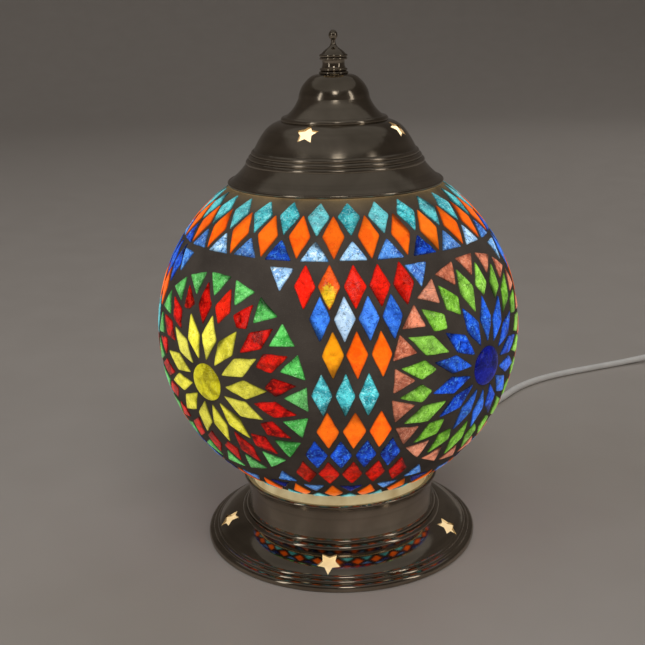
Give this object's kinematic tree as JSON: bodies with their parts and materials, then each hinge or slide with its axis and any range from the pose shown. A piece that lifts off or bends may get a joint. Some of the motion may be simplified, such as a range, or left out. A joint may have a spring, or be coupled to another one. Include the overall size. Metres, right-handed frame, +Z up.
{
  "type": "table lamp",
  "caption": "Glass globe table lamp with a mosaic of coloured tiles, spun metal base and cap with star cut-outs, finial, and a mains cord with switch and plug.",
  "frame": {"origin": "centre of the felt pad's underside, on the surface that the lamp stands on", "axes": "+Z up along the lamp, -Y to the front, +X to the right seen from the front"},
  "size_m": [0.4117, 0.3256, 0.2275],
  "materials": {
    "brass": "plain",
    "bulb_glass": "frosted",
    "cabochon_blue": "gloss",
    "cabochon_yellow": "gloss",
    "cap_metal": "plain",
    "ceramic": "glazed ceramic",
    "ceramic_black": "black glass",
    "cord_pvc": "soft vinyl",
    "fasteners": "zinc plated",
    "felt": "felt",
    "frosted_glass": "frosted",
    "grout": "matt dark cement grout",
    "holder_plastic": "moulded",
    "plug_metal": "nickel plated",
    "rubber": "silicone",
    "spun_metal": "polished dark nickel plate on spun brass",
    "steel": "zinc plated",
    "tie": "soft",
    "tiles_green": "gloss",
    "tiles_light_blue": "gloss",
    "tiles_lime": "gloss",
    "tiles_navy": "gloss",
    "tiles_orange": "gloss",
    "tiles_red": "gloss",
    "tiles_royal_blue": "gloss",
    "tiles_steel_blue": "gloss",
    "tiles_terracotta": "gloss",
    "tiles_turquoise": "gloss",
    "tiles_yellow": "gloss",
    "white_plastic": "moulded",
    "wire_blue": "wire insulation",
    "wire_brown": "wire insulation"
  },
  "bodies": {
    "root": {"base_shell": "spun_metal", "bonding_bead": "rubber", "bottom_plate": "steel", "bridge": "steel", "bridge_nuts": "fasteners", "bridge_screws": "fasteners", "cabochon_blue": "cabochon_blue", "cabochon_yellow": "cabochon_yellow", "clamp_screws": "fasteners", "cord_clamp": "holder_plastic", "cord_coil": "cord_pvc", "cord_inner": "cord_pvc", "cord_lead": "cord_pvc", "cord_middle": "cord_pvc", "cord_tail": "cord_pvc", "cord_tie": "tie", "felt_pad": "felt", "globe_glass": "frosted_glass", "grout": "grout", "holder_contact": "brass", "holder_cup": "holder_plastic", "holder_insulator": "ceramic", "holder_liner": "brass", "holder_skirt": "holder_plastic", "holder_terminals": "brass", "plug_body": "white_plastic", "plug_pins": "plug_metal", "seat_gasket": "rubber", "strain_relief": "cord_pvc", "support_ring": "steel", "switch_base": "white_plastic", "switch_cover": "white_plastic", "switch_screws": "fasteners", "switch_terminals": "brass", "threaded_tube": "brass", "tiles_green": "tiles_green", "tiles_light_blue": "tiles_light_blue", "tiles_lime": "tiles_lime", "tiles_navy": "tiles_navy", "tiles_orange": "tiles_orange", "tiles_red": "tiles_red", "tiles_royal_blue": "tiles_royal_blue", "tiles_steel_blue": "tiles_steel_blue", "tiles_terracotta": "tiles_terracotta", "tiles_turquoise": "tiles_turquoise", "tiles_yellow": "tiles_yellow", "tube_nuts": "fasteners", "wire_live": "wire_brown", "wire_neutral": "wire_blue"},
    "bulb_carrier": {"bulb_tip": "brass"},
    "bulb": {"bulb_glass": "bulb_glass", "bulb_screw_cap": "cap_metal", "bulb_insulator": "ceramic_black", "bulb_stem": "bulb_glass", "bulb_filament": "fasteners"},
    "cap": {"cap_shell": "spun_metal", "finial_stud": "fasteners", "stud_nut": "fasteners"},
    "finial": {"finial": "spun_metal"},
    "rocker": {"switch_rocker": "white_plastic"}
  },
  "joints": [
    {"name": "bulb_lift", "type": "slide", "parent": "root", "child": "bulb_carrier", "axis": [0, 0, 1], "range_m": [0, 0.0142]},
    {"name": "bulb_turn", "type": "hinge", "parent": "bulb_carrier", "child": "bulb", "pos_m": [0, 0, 0.06], "axis": [0, 0, 1], "range_deg": [0, 1800]},
    {"name": "cap_lift", "type": "slide", "parent": "root", "child": "cap", "axis": [0, 0, 1], "range_m": [0, 0.08]},
    {"name": "finial_turn", "type": "hinge", "parent": "cap", "child": "finial", "pos_m": [0, 0, 0.212], "axis": [0, 0, 1], "range_deg": [0, 1440]},
    {"name": "switch_rock", "type": "hinge", "parent": "root", "child": "rocker", "pos_m": [0.263, 0.232, 0.0122], "axis": [0, 1, 0], "range_deg": [-16, 0]}
  ],
  "couplings": [
    {"joint": "bulb_lift", "follows": "bulb_turn", "m_per_rad": 0.00044882}
  ]
}
